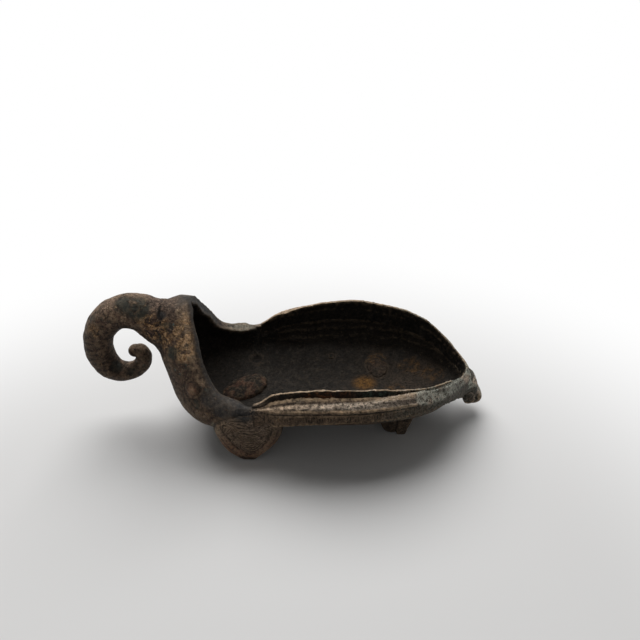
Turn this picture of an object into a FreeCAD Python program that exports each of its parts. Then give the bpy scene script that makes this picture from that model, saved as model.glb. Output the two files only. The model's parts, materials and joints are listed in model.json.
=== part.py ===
import FreeCAD, Part
import math
import os

# Bronze yi: a small boat-shaped pouring vessel on four feet. A steep trough rises at
# one end and carries a curled handle; the bowl narrows to a sloping end plate with a
# small volute at the other. Millimetres. +X runs to the narrow end, +Z is up, and the
# origin lies on the ground under the middle of the vessel. +Y is its left side.

# Overall sizes that the tables below are drawn at and scaled to
LENGTH = 220.0
WIDTH = 101.8
HEIGHT = 82.6
DRAWN_LENGTH = 220.0
DRAWN_WIDTH = 101.8
DRAWN_HEIGHT = 82.6

# Bronze thicknesses
WALL = 3.4
LIP_THICKNESS = 2.0
LIP_REBATE = 5.0
LIP_CUT_MARGIN = 0.6
MOUTH_CLEARANCE = 9.0
BAND_SEAM = 0.2
BAND_SEAM_DEPTH = 1.0

# Joints between the castings
HANDLE_PEG_RADIUS = 4.5
HANDLE_PEG_LENGTH = 8.5
REAR_TENON_RADIUS = 3.2
FRONT_TENON_RADIUS = 2.4
CURL_PEG_RADIUS = 1.6
CURL_PEG_LENGTH = 3.0

# Feet
REAR_FOOT_FACE_Y = 37.6
REAR_FOOT_THICKNESS = 8.0
REAR_FOOT_X = -21.0
REAR_TENON_Y = 24.0
REAR_TENON_Z = (6.0, 30.0)
FRONT_FOOT_INNER_Y = 10.0
FRONT_FOOT_OUTER_Y = 21.0
FRONT_TENON_X = 53.5
FRONT_TENON_Y = 17.0
FRONT_TENON_Z = (8.0, 20.0)
REAR_FOOT_ROUNDING = 1.5
FRONT_FOOT_ROUNDING = 0.0
FRONT_FOOT_LEAN = 0.0

# Small castings inside and on the sides
FRONT_LOCK_X = 51.5
FRONT_LOCK_Y = 20.5
FRONT_LOCK_SIZE = (12.0, 25.0, 7.0)
FLOOR_PATCH_CENTRE = (-25.5, 0.3)
FLOOR_PATCH_SIZE = (29.0, 18.0, 8.0)
FLOOR_PATCH_TURN = 40.0
EYE_RADIUS = 4.2
EYE_CENTRE = (-47.0, 29.5, 44.0)
SPACER_SIDE = 3.2
SPACER_PLACE = (24.4, 26.5)
SPACER_STAND = 0.4

# Lip: x, half width at the middle of its thickness, height of its edge
LIP = [
    (-17.0, 36.8, 41.3),
    (-10.0, 37.5, 43.9),
    (-3.0, 38.1, 46.0),
    (11.0, 39.8, 49.0),
    (25.0, 41.1, 50.6),
    (39.0, 41.2, 50.9),
    (52.0, 39.2, 50.0),
    (67.0, 34.9, 48.0),
    (75.0, 31.3, 46.2),
    (82.0, 26.6, 44.0),
    (88.0, 20.9, 40.4),
    (94.0, 13.3, 36.2),
    (98.0, 6.5, 33.2),
]
LIP_NOSE_X = 100.0

# Ledge: x, half width at its outer edge, height, height of the frieze's lower edge
LEDGE = [
    (-17.0, 41.8, 38.4, 27.2),
    (-10.0, 44.6, 40.0, 29.6),
    (-2.5, 47.4, 41.7, 31.9),
    (7.5, 49.2, 43.0, 34.0),
    (22.0, 50.6, 43.8, 35.6),
    (33.0, 50.9, 43.9, 36.1),
    (45.0, 49.2, 43.2, 35.4),
    (56.0, 46.0, 42.0, 34.0),
    (66.0, 42.2, 40.5, 33.0),
    (77.0, 36.6, 38.3, 31.4),
    (83.0, 31.8, 36.7, 29.4),
    (88.0, 26.2, 34.8, 26.4),
    (94.0, 17.6, 31.6, 21.6),
    (98.0, 11.8, 29.4, 18.6),
    (101.0, 7.2, 27.8, 17.0),
]
LEDGE_NOSE_X = 103.8

# Outside of the casting, section by section from the narrow end to the prow's head.
# Each section stands in a plane through Y: rim x, rim z, half width at the rim, half
# width of the belly, keel x, keel z, squareness
OUTSIDE_NOSE = [
    (102.2, 27.0, 2.6, 2.6, 99.5, 21.5, 2.0),
    (100.4, 28.0, 6.8, 6.8, 96.8, 19.6, 2.1),
]
OUTSIDE_BOWL = [
    (96.0, 91.8, 17.8, 2.3),
    (88.0, 85.4, 15.8, 2.6),
    (78.0, 76.8, 14.8, 2.8),
    (69.4, 69.0, 14.5, 2.9),
    (56.2, 56.2, 14.5, 2.9),
    (43.7, 43.7, 14.5, 2.9),
    (31.6, 31.6, 14.5, 2.9),
    (22.0, 22.0, 14.5, 2.9),
    (7.5, 7.5, 14.5, 2.9),
    (-2.5, -3.0, 14.5, 2.9),
    (-12.0, -14.0, 14.6, 2.9),
]
OUTSIDE_PROW = [
    (-20.0, 37.7, 40.7, 40.7, -31.0, 14.9, 2.9),
    (-27.5, 38.1, 39.9, 39.9, -50.0, 16.8, 2.8),
    (-34.0, 39.8, 37.2, 37.2, -59.4, 24.0, 2.5),
    (-38.6, 43.2, 33.6, 33.6, -63.4, 32.8, 2.35),
    (-41.8, 49.2, 29.6, 29.6, -66.0, 42.0, 2.2),
    (-44.2, 56.6, 25.6, 25.6, -68.4, 50.8, 2.1),
    (-46.2, 64.0, 20.8, 20.8, -69.8, 59.2, 2.1),
    (-47.5, 70.6, 15.0, 15.6, -69.2, 66.6, 2.1),
    (-48.6, 76.2, 8.8, 11.6, -67.4, 72.4, 2.1),
    (-49.6, 79.4, 3.6, 9.0, -65.2, 75.6, 2.1),
    (-50.6, 80.4, 1.8, 6.6, -63.6, 77.0, 2.0),
    (-52.4, 80.8, 0.8, 3.2, -61.0, 78.3, 2.0),
]

# Hollow of the casting, in the same order: the bowl's widths follow the lip
HOLLOW_NOSE = [
    (99.2, 32.0, 1.6, 1.6, 96.8, 27.0, 2.0),
]
HOLLOW_BOWL = [
    (98.0, 95.4, 24.2, 2.1),
    (94.0, 91.0, 20.8, 2.4),
    (88.0, 85.6, 18.9, 2.8),
    (82.0, 80.4, 18.2, 3.0),
    (75.0, 74.0, 18.0, 3.2),
    (67.0, 67.0, 18.0, 3.3),
    (52.0, 52.0, 18.0, 3.3),
    (39.0, 39.0, 18.0, 3.3),
    (25.0, 25.0, 18.0, 3.3),
    (11.0, 11.0, 18.0, 3.3),
    (-3.0, -3.0, 18.0, 3.3),
    (-10.0, -11.0, 18.1, 3.2),
    (-17.0, -20.0, 18.5, 3.0),
]
HOLLOW_PROW = [
    (-21.0, 38.6, 33.8, 33.8, -31.0, 18.9, 2.9),
    (-25.7, 37.6, 31.2, 31.2, -43.0, 20.4, 2.8),
    (-31.0, 38.0, 29.9, 29.9, -52.4, 24.8, 2.6),
    (-35.8, 39.9, 28.4, 28.4, -57.8, 31.6, 2.4),
    (-39.5, 45.0, 24.2, 24.2, -61.0, 39.6, 2.25),
    (-41.9, 51.2, 21.0, 21.0, -62.4, 47.4, 2.2),
    (-44.0, 58.6, 16.8, 16.8, -62.0, 54.8, 2.1),
    (-45.6, 66.4, 11.0, 11.0, -59.2, 63.0, 2.0),
    (-46.8, 73.4, 5.4, 5.4, -54.6, 71.2, 2.0),
    (-48.0, 77.8, 2.0, 2.0, -51.0, 76.8, 2.0),
]

# Curled handle: x, z and radius along its middle line, from the root to the ball end
HANDLE = [
    (-60.0, 61.5, 13.4),
    (-66.2, 65.6, 12.6),
    (-70.8, 68.9, 11.3),
    (-76.6, 72.0, 9.9),
    (-83.3, 73.2, 9.1),
    (-90.0, 71.6, 8.7),
    (-95.8, 66.8, 8.3),
    (-100.3, 60.0, 8.0),
    (-102.2, 52.4, 7.7),
    (-102.0, 44.8, 7.4),
    (-99.4, 38.4, 6.9),
    (-94.2, 34.4, 6.1),
    (-88.0, 34.2, 5.2),
    (-82.6, 37.0, 4.7),
    (-79.4, 41.8, 4.4),
    (-79.8, 46.4, 4.0),
    (-83.2, 47.8, 3.5),
]
HANDLE_BALL = (-83.4, 47.8, 3.6)
HANDLE_PEG_START = (-70.0, 68.0)
HANDLE_PEG_AIM = (-55.0, 71.5)

# End plate and volute: x, z, half width, half thickness along its middle line
CURL = [
    (98.4, 25.2, 12.4, 2.8),
    (101.6, 22.6, 9.8, 2.6),
    (104.3, 18.8, 7.6, 2.4),
    (106.5, 14.6, 6.1, 2.2),
    (107.85, 11.2, 5.4, 2.1),
    (106.2, 8.9, 5.0, 2.0),
    (103.8, 9.4, 4.8, 1.8),
    (102.8, 11.2, 4.6, 1.5),
]
CURL_PEG_START = (102.0, 24.0)
CURL_PEG_AIM = (92.0, 21.0)

# Outline of a rear flap foot on its face: x, z. The first and last points are the ends
# of its flat land on the ground.
REAR_FOOT = [
    (-18.6, 0.0),
    (-10.2, 8.4),
    (-4.6, 16.8),
    (-2.9, 26.0),
    (-12.0, 33.0),
    (-28.0, 33.0),
    (-37.2, 27.0),
    (-36.8, 19.6),
    (-34.6, 12.2),
    (-30.3, 4.9),
    (-24.6, 0.0),
]
REAR_FOOT_LEAN = 0.13

# Heel behind each rear flap, under the belly: x and z of its four corners where it
# meets the flap and where it ends towards the middle
REAR_HEEL_OUTER_Y = 34.0
REAR_HEEL_OUTER = [(-28.5, 8.0), (-13.5, 8.0), (-11.0, 24.0), (-31.5, 24.0)]
REAR_HEEL_INNER_Y = 18.0
REAR_HEEL_INNER = [(-26.5, 10.0), (-14.0, 10.0), (-14.0, 20.0), (-26.5, 20.0)]

# Outline of a small two-lobed front foot on its face: x, z
FRONT_FOOT = [
    (64.0, 0.0),
    (65.9, 5.0),
    (68.2, 12.0),
    (69.4, 18.0),
    (58.0, 20.5),
    (48.6, 18.0),
    (50.0, 9.4),
    (51.9, 4.8),
    (54.7, 2.3),
    (57.4, 1.6),
    (59.6, 0.0),
]

scale_x = LENGTH / DRAWN_LENGTH
scale_y = WIDTH / DRAWN_WIDTH
scale_z = HEIGHT / DRAWN_HEIGHT

# The handle's thickness follows the smaller scale of its side view, so its curl stays open
tube_scale = min(scale_x, scale_z)


# A point drawn at the table's size, carried to the real size
def place(x, y, z):
    return FreeCAD.Vector(x * scale_x, y * scale_y, z * scale_z)


# Smooth value from a table, read at x between its rows, with no overshoot
def read(rows, column, x):
    xs = [row[0] for row in rows]
    ys = [row[column] for row in rows]
    n = len(xs)
    gaps = [xs[i + 1] - xs[i] for i in range(n - 1)]
    rises = [(ys[i + 1] - ys[i]) / gaps[i] for i in range(n - 1)]
    slopes = [rises[0]] + [0.0] * (n - 2) + [rises[-1]]
    for i in range(1, n - 1):
        if rises[i - 1] * rises[i] > 0:
            a = 2 * gaps[i] + gaps[i - 1]
            b = gaps[i] + 2 * gaps[i - 1]
            slopes[i] = (a + b) / (a / rises[i - 1] + b / rises[i])
    x = min(max(x, xs[0]), xs[-1])
    i = 0
    while i < n - 2 and x > xs[i + 1]:
        i += 1
    t = (x - xs[i]) / gaps[i]
    start = (1 + 2 * t) * (1 - t) ** 2 * ys[i] + t * (1 - t) ** 2 * gaps[i] * slopes[i]
    end = t * t * (3 - 2 * t) * ys[i + 1] + t * t * (t - 1) * gaps[i] * slopes[i + 1]
    return start + end


def smooth_edge(points):
    line = Part.BSplineCurve()
    line.interpolate(Points=points)
    return line.toShape()


# One U-shaped section between its rim and its keel, closed across the top. With a
# lift, its sides first run on past the rim.
def section(row, lift):
    rim_x, rim_z, rim_half, belly_half, keel_x, keel_z, power = row
    steps = 24
    points = []
    for k in range(steps + 1):
        turn = math.pi * k / steps
        c = math.cos(turn)
        s = math.sin(turn)
        reach = (abs(c) ** power + abs(s) ** power) ** (-1.0 / power)
        depth = reach * s
        half = rim_half + (belly_half - rim_half) * math.sin(0.5 * math.pi * min(1.0, depth * 1.6))
        x = rim_x + (keel_x - rim_x) * depth
        z = rim_z + (keel_z - rim_z) * depth
        points.append(place(x, half * reach * c, z))
    curve = Part.BSplineCurve()
    curve.interpolate(Points=points, Parameters=[k / steps for k in range(steps + 1)])
    edges = [curve.toShape()]
    left, right = points[0], points[-1]
    if lift > 0:
        up_x = rim_x - keel_x
        up_z = rim_z - keel_z
        size = math.hypot(up_x, up_z)
        rise = place(up_x / size * lift, 0, up_z / size * lift)
        edges.append(Part.makeLine(right, right + rise))
        edges.append(Part.makeLine(right + rise, left + rise))
        edges.append(Part.makeLine(left + rise, left))
    else:
        edges.append(Part.makeLine(right, left))
    return Part.Wire(edges)


# Upright block whose plan is symmetric about X: x and half width, closed at the nose
def plan_block(rows, nose_x, bottom, top):
    near = [place(x, -half, bottom) for x, half in rows]
    far = [place(x, half, bottom) for x, half in reversed(rows)]
    side = smooth_edge(near + [place(nose_x, 0, bottom)] + far)
    back = Part.makeLine(far[-1], near[0])
    face = Part.Face(Part.Wire([side, back]))
    return face.extrude(place(0, 0, top - bottom))


# Slab across the vessel between two profiles seen from the side
def side_slab(upper, lower):
    wide = 0.6 * DRAWN_WIDTH
    high = [place(x, -wide, z) for x, z in upper]
    low = [place(x, -wide, z) for x, z in lower]
    edges = [smooth_edge(high), Part.makeLine(high[-1], low[-1])]
    edges += [smooth_edge(list(reversed(low))), Part.makeLine(low[0], high[0])]
    face = Part.Face(Part.Wire(edges))
    return face.extrude(place(0, 2 * wide, 0))


# Foot cut to an outline seen from the side, with rounded edges on its outer face. It
# leans outwards: y grows by the lean for each millimetre above the ground.
def outline_block(outline, y_from, y_to, rounding, lean):
    points = [place(x, y_from + lean * z, z) for x, z in outline]
    land = Part.makeLine(points[-1], points[0])
    face = Part.Face(Part.Wire([smooth_edge(points), land]))
    block = face.extrude(place(0, y_to - y_from, 0))
    outer_face = max(block.Faces, key=lambda side: side.CenterOfMass.y)
    if rounding > 0:
        block = block.makeFillet(rounding, outer_face.Edges)
    return block


def mirrored(shape):
    return shape.mirror(FreeCAD.Vector(0, 0, 0), FreeCAD.Vector(0, 1, 0))


def ellipsoid(centre, size, turn):
    ball = Part.makeSphere(1.0)
    stretch = FreeCAD.Matrix()
    stretch.scale(0.5 * size[0] * scale_x, 0.5 * size[1] * scale_y, 0.5 * size[2] * scale_z)
    solid = ball.transformGeometry(stretch)
    solid.rotate(FreeCAD.Vector(0, 0, 0), FreeCAD.Vector(0, 0, 1), turn)
    solid.translate(centre)
    return solid


# Round peg between two points
def peg(start, aim, radius, length):
    direction = aim.sub(start)
    return Part.makeCylinder(radius, length, start, direction)


# Largest solid of a result, so that no loose sliver is kept
def main_solid(shape):
    solids = sorted(shape.Solids, key=lambda solid: solid.Volume)
    return solids[-1]


# Outside and hollow of the cast body
lip_to_outside = WALL - 0.5 * LIP_THICKNESS
lip_to_hollow = 0.5 * LIP_THICKNESS


def lip_half(x):
    return read([(row[0], row[1]) for row in LIP], 1, x)


def ledge_height(x):
    return read([(row[0], row[2]) for row in LEDGE], 1, x)


def lip_height(x):
    return read([(row[0], row[2]) for row in LIP], 1, x)


outside_rows = list(OUTSIDE_NOSE)
for x, keel_x, keel_z, power in OUTSIDE_BOWL:
    half = lip_half(x) + lip_to_outside
    outside_rows.append((x, ledge_height(x), half, half, keel_x, keel_z, power))
outside_rows += OUTSIDE_PROW

hollow_rows = list(HOLLOW_NOSE)
for x, keel_x, keel_z, power in HOLLOW_BOWL:
    half = lip_half(x) - lip_to_hollow
    hollow_rows.append((x, lip_height(x), half, half, keel_x, keel_z, power))
hollow_rows += HOLLOW_PROW

outside = Part.makeLoft([section(row, 0) for row in outside_rows], True, False)
hollow = Part.makeLoft([section(row, MOUTH_CLEARANCE) for row in hollow_rows], True, False)
print("outside", outside.isValid(), round(outside.Volume), "hollow", hollow.isValid(), round(hollow.Volume))

# Lip: an upright strip round the mouth, let into a rebate in the wall and flush with
# the hollow on its inner face
lip_outer = [(x, half + 0.5 * LIP_THICKNESS) for x, half, z in LIP]
lip_inner = [(x - LIP_THICKNESS, half - 0.5 * LIP_THICKNESS - LIP_CUT_MARGIN) for x, half, z in LIP]
lip_ring = plan_block(lip_outer, LIP_NOSE_X + 0.5 * LIP_THICKNESS, 0, DRAWN_HEIGHT)
lip_ring = lip_ring.cut(plan_block(lip_inner, LIP_NOSE_X - 1.5 * LIP_THICKNESS, -1, DRAWN_HEIGHT + 1))
lip_top = [(x, z) for x, half, z in LIP] + [(LIP_NOSE_X + LIP_THICKNESS, 30.8)]
lip_bottom = [(x, ledge_height(x) - LIP_REBATE) for x, z in lip_top]
inner_lip = main_solid(lip_ring.common(side_slab(lip_top, lip_bottom)).cut(hollow))
print("lip", inner_lip.isValid(), round(inner_lip.Volume))

# Ledge and frieze: one moulding round the outside of the wall
band_plan = [(x, half) for x, half, top, bottom in LEDGE]
band_top = [(x, top) for x, half, top, bottom in LEDGE] + [(LEDGE_NOSE_X + 1.5, 25.6)]
band_bottom = [(x, bottom) for x, half, top, bottom in LEDGE] + [(LEDGE_NOSE_X + 1.5, 15.4)]
band = plan_block(band_plan, LEDGE_NOSE_X, 0, DRAWN_HEIGHT)
band = band.common(side_slab(band_top, band_bottom))
mouth_plan = [(x, half + lip_to_outside + BAND_SEAM) for x, half, z in LIP]
mouth_plan = [(LIP[0][0] - 6.0, mouth_plan[0][1])] + mouth_plan
mouth = plan_block(mouth_plan, LIP_NOSE_X + lip_to_outside + BAND_SEAM, 0, DRAWN_HEIGHT)
seam_top = [(band_top[0][0] - 6.0, band_top[0][1] + 9.0)] + [(x, z + 9.0) for x, z in band_top]
seam_bottom = [(x, z - 9.0 - BAND_SEAM_DEPTH) for x, z in seam_top]
mouth = mouth.common(side_slab(seam_top, seam_bottom))
rim_band = main_solid(band.cut(outside).cut(mouth))
print("band", rim_band.isValid(), round(rim_band.Volume))


# Curled handle: round sections along its middle line, with a ball at its end
def round_section(row, before, after):
    x, z, radius = row
    direction = place(after[0] - before[0], 0, after[1] - before[1])
    circle = Part.Circle(place(x, 0, z), direction, radius * tube_scale)
    return Part.Wire([circle.toShape()])


handle_wires = []
for k, row in enumerate(HANDLE):
    before = HANDLE[max(k - 1, 0)]
    after = HANDLE[min(k + 1, len(HANDLE) - 1)]
    handle_wires.append(round_section(row, before, after))
ball_x, ball_z, ball_radius = HANDLE_BALL
tube = Part.makeLoft(handle_wires, True, False)
tube = tube.fuse(Part.makeSphere(ball_radius * tube_scale, place(ball_x, 0, ball_z)))
peg_start = place(HANDLE_PEG_START[0], 0, HANDLE_PEG_START[1])
peg_aim = place(HANDLE_PEG_AIM[0], 0, HANDLE_PEG_AIM[1])
handle_peg = peg(peg_start, peg_aim, HANDLE_PEG_RADIUS, HANDLE_PEG_LENGTH)
scroll_handle = main_solid(main_solid(tube.cut(outside)).fuse(handle_peg))
print("handle", scroll_handle.isValid(), round(scroll_handle.Volume))


# End plate that slopes down from the rim and curls under into a small volute
def plate_section(row, before, after):
    x, z, half, thick = row
    run_x = (after[0] - before[0]) * scale_x
    run_z = (after[1] - before[1]) * scale_z
    size = math.hypot(run_x, run_z)
    across = FreeCAD.Vector(-run_z / size * thick, 0, run_x / size * thick)
    middle = place(x, 0, z)
    points = []
    for k in range(24):
        turn = 2 * math.pi * k / 24
        c = math.cos(turn)
        s = math.sin(turn)
        y = math.copysign(abs(c) ** 0.6, c) * half * scale_y
        lift = math.copysign(abs(s) ** 0.8, s)
        points.append(middle + FreeCAD.Vector(0, y, 0) + across * lift)
    line = Part.BSplineCurve()
    line.interpolate(Points=points, PeriodicFlag=True)
    return Part.Wire([line.toShape()])


curl_wires = []
for k, row in enumerate(CURL):
    curl_wires.append(plate_section(row, CURL[max(k - 1, 0)], CURL[min(k + 1, len(CURL) - 1)]))
curl = Part.makeLoft(curl_wires, True, False)
curl = main_solid(curl.cut(outside).cut(band))
curl_start = place(CURL_PEG_START[0], 0, CURL_PEG_START[1])
curl_aim = place(CURL_PEG_AIM[0], 0, CURL_PEG_AIM[1])
curl_peg = peg(curl_start, curl_aim, CURL_PEG_RADIUS, CURL_PEG_LENGTH)
tip_curl = main_solid(curl.fuse(curl_peg))
print("curl", tip_curl.isValid(), round(tip_curl.Volume))

# Rear feet: leaf-shaped flaps with a heel under the belly and a tenon through its wall
flap_back_y = REAR_FOOT_FACE_Y - REAR_FOOT_THICKNESS
flap = outline_block(REAR_FOOT, flap_back_y, REAR_FOOT_FACE_Y, REAR_FOOT_ROUNDING, REAR_FOOT_LEAN)
rear_tenon_at = place(REAR_FOOT_X + 1.0, REAR_TENON_Y, REAR_TENON_Z[0])
rear_tenon_length = (REAR_TENON_Z[1] - REAR_TENON_Z[0]) * scale_z
rear_tenon = Part.makeCylinder(REAR_TENON_RADIUS, rear_tenon_length, rear_tenon_at, FreeCAD.Vector(0, 0, 1))
heel_outer = [place(x, REAR_HEEL_OUTER_Y, z) for x, z in REAR_HEEL_OUTER]
heel_inner = [place(x, REAR_HEEL_INNER_Y, z) for x, z in REAR_HEEL_INNER]
heel_ends = [Part.makePolygon(heel_outer + heel_outer[:1]), Part.makePolygon(heel_inner + heel_inner[:1])]
heel = Part.makeLoft(heel_ends, True, True)
rear_body = main_solid(flap.cut(outside).cut(band)).fuse(heel.cut(outside))
rear_foot = main_solid(main_solid(rear_body).fuse(rear_tenon.common(outside).cut(hollow)))
print("rear foot", rear_foot.isValid(), round(rear_foot.Volume))

# Front feet: small two-lobed feet with a tenon through the floor into a lock
stub = outline_block(FRONT_FOOT, FRONT_FOOT_INNER_Y, FRONT_FOOT_OUTER_Y, FRONT_FOOT_ROUNDING, FRONT_FOOT_LEAN)
stub = stub.cut(outside)
front_tenon_at = place(FRONT_TENON_X, FRONT_TENON_Y, FRONT_TENON_Z[0])
front_tenon_length = (FRONT_TENON_Z[1] - FRONT_TENON_Z[0]) * scale_z
front_tenon = Part.makeCylinder(FRONT_TENON_RADIUS, front_tenon_length, front_tenon_at, FreeCAD.Vector(0, 0, 1))
front_foot = main_solid(main_solid(stub).fuse(front_tenon))
print("front foot", front_foot.isValid(), round(front_foot.Volume))

# Locks over the front tenons, the patch on the floor, the spacer and the eyes
bronze_shell = outside.cut(hollow)
lock_centre = place(FRONT_LOCK_X, FRONT_LOCK_Y, 18.2)
front_lock = main_solid(ellipsoid(lock_centre, FRONT_LOCK_SIZE, 0).cut(bronze_shell).cut(front_foot))
patch_centre = place(FLOOR_PATCH_CENTRE[0], FLOOR_PATCH_CENTRE[1], 19.0)
floor_patch = main_solid(ellipsoid(patch_centre, FLOOR_PATCH_SIZE, FLOOR_PATCH_TURN).cut(bronze_shell))
eye_centre = place(EYE_CENTRE[0], EYE_CENTRE[1], EYE_CENTRE[2])
eye = Part.makeSphere(EYE_RADIUS, eye_centre)
eye_boss = main_solid(eye.cut(outside))
spacer_corner = place(SPACER_PLACE[0], SPACER_PLACE[1], 0)
spacer_corner = spacer_corner.sub(FreeCAD.Vector(0.5 * SPACER_SIDE, 0.5 * SPACER_SIDE, 0))
spacer_column = Part.makeBox(SPACER_SIDE, SPACER_SIDE, HEIGHT, spacer_corner)
raised_hollow = hollow.copy()
raised_hollow.translate(FreeCAD.Vector(0, 0, SPACER_STAND))
core_spacer = main_solid(spacer_column.common(outside).cut(raised_hollow))
print("small", front_lock.isValid(), floor_patch.isValid(), eye_boss.isValid(), core_spacer.isValid())

# Cast body, with the seats of everything that is let into it
bowl = bronze_shell.cut(inner_lip).cut(scroll_handle).cut(tip_curl).cut(core_spacer)
bowl = bowl.cut(rear_foot).cut(mirrored(rear_foot)).cut(front_foot).cut(mirrored(front_foot))
bowl_body = main_solid(bowl)
print("bowl", bowl_body.isValid(), round(bowl_body.Volume), len(bowl.Solids))

nodes = {
    "bowl_body": bowl_body,
    "rim_band": rim_band,
    "inner_lip": inner_lip,
    "scroll_handle": scroll_handle,
    "tip_curl": tip_curl,
    "foot_rear_left": rear_foot,
    "foot_rear_right": mirrored(rear_foot),
    "foot_front_left": front_foot,
    "foot_front_right": mirrored(front_foot),
    "front_lock_left": front_lock,
    "front_lock_right": mirrored(front_lock),
    "floor_patch": floor_patch,
    "eye_boss_left": eye_boss,
    "eye_boss_right": mirrored(eye_boss),
    "core_spacer": core_spacer,
}

os.makedirs("parts", exist_ok=True)
for name, shape in nodes.items():
    print(name, shape.isValid(), shape.ShapeType, len(shape.Solids), round(shape.Volume))
    shape.exportStep("parts/" + name + ".step")
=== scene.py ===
# %% [markdown]
# # A small cast bronze pouring vessel
# The CAD frame holds the exact castings: the bowl with its steep trough, the ledge and
# frieze, the lip, the curled handle, the end plate, four feet and a few small castings.
# This lesson dresses them. Each casting gets a fine, even skin that is pushed about as
# clay would be in the founder's mould, and then a bronze that is pitted, stained and
# worn where the real one is.

# %% Load the frame
import json
import math
import bpy
import bmesh
import numpy as np
from mathutils import Matrix, Vector, kdtree, noise
from mathutils.bvhtree import BVHTree


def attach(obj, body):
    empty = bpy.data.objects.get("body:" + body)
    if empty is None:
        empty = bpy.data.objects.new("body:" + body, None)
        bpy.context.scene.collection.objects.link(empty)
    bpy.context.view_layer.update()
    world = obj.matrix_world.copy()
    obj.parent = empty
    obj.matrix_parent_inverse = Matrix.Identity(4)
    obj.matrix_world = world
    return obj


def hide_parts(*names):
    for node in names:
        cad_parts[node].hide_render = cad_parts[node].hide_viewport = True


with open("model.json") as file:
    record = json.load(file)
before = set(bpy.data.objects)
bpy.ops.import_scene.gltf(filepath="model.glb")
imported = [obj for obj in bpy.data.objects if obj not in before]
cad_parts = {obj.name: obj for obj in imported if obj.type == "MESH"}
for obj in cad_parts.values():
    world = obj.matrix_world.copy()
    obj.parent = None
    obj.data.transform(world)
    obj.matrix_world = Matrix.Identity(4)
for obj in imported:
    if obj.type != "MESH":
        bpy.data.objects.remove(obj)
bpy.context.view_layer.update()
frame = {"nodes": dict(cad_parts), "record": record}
MM = 0.001

# %% [markdown]
# The camera stands where the photographer's phone was: 25 cm above the table, tilted
# down by 33 degrees and turned a little about its own axis. With its place and tilt
# known, the three directions of its frame are written out as a matrix.

# %% Camera
CAMERA_AT = Vector((0.0183, -0.28477, 0.250))
PITCH = math.radians(33.1)
ROLL = math.radians(1.5)
LENS = 638 / 640 * 36

ahead = Vector((0, math.cos(PITCH), -math.sin(PITCH)))
under = Vector((0, -math.sin(PITCH), -math.cos(PITCH)))
aside = Vector((1, 0, 0))
right = aside * math.cos(ROLL) + under * math.sin(ROLL)
down = -aside * math.sin(ROLL) + under * math.cos(ROLL)

camera = bpy.data.objects.new("camera", bpy.data.cameras.new("camera"))
camera.data.lens = LENS
camera.data.sensor_width = 36
camera.data.clip_start = 0.01
camera.matrix_world = Matrix((right, -down, -ahead)).transposed().to_4x4()
camera.location = CAMERA_AT
bpy.context.scene.collection.objects.link(camera)
bpy.context.scene.camera = camera
bpy.context.scene.view_settings.view_transform = "Standard"
print("camera lens", round(LENS, 2), "mm")

# %% [markdown]
# Materials are sums of noise, masks and colours. Written as nodes one by one they are
# long, so two small classes shorten them. A Value wraps one socket, and Python's signs
# on it add Math nodes. A Finish owns one material and makes any other node.

# %% Shader expressions
class Value:
    def __init__(self, finish, socket):
        self.finish = finish
        self.socket = socket

    def maths(self, operation, *values):
        node = self.finish.node("ShaderNodeMath", {"operation": operation}, list(values))
        return Value(self.finish, node.outputs[0])

    def __add__(self, other):
        return self.maths("ADD", self, other)

    __radd__ = __add__

    def __sub__(self, other):
        return self.maths("SUBTRACT", self, other)

    def __rsub__(self, other):
        return self.maths("SUBTRACT", other, self)

    def __mul__(self, other):
        return self.maths("MULTIPLY", self, other)

    __rmul__ = __mul__

    def __truediv__(self, other):
        return self.maths("DIVIDE", self, other)

    def step(self, low, high):
        """0 below low, 1 above high, and smooth between them."""
        settings = {"interpolation_type": "SMOOTHSTEP"}
        node = self.finish.node("ShaderNodeMapRange", settings, [self, low, high])
        return Value(self.finish, node.outputs[0])

    def most(self, other):
        return self.maths("MAXIMUM", self, other)


def put(tree, socket, value):
    """Links an input to a socket or a Value, or sets it to a plain value."""
    if isinstance(value, Value):
        value = value.socket
    if isinstance(value, bpy.types.NodeSocket):
        tree.links.new(value, socket)
    elif value is not None:
        socket.default_value = value


def add_node(tree, kind, settings=None, values=()):
    """One node: its settings first, then its inputs by number or by name."""
    made = tree.nodes.new(kind)
    for name, setting in (settings or {}).items():
        setattr(made, name, setting)
    pairs = values.items() if isinstance(values, dict) else enumerate(values)
    for name, value in pairs:
        put(tree, made.inputs[name], value)
    return made


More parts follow.
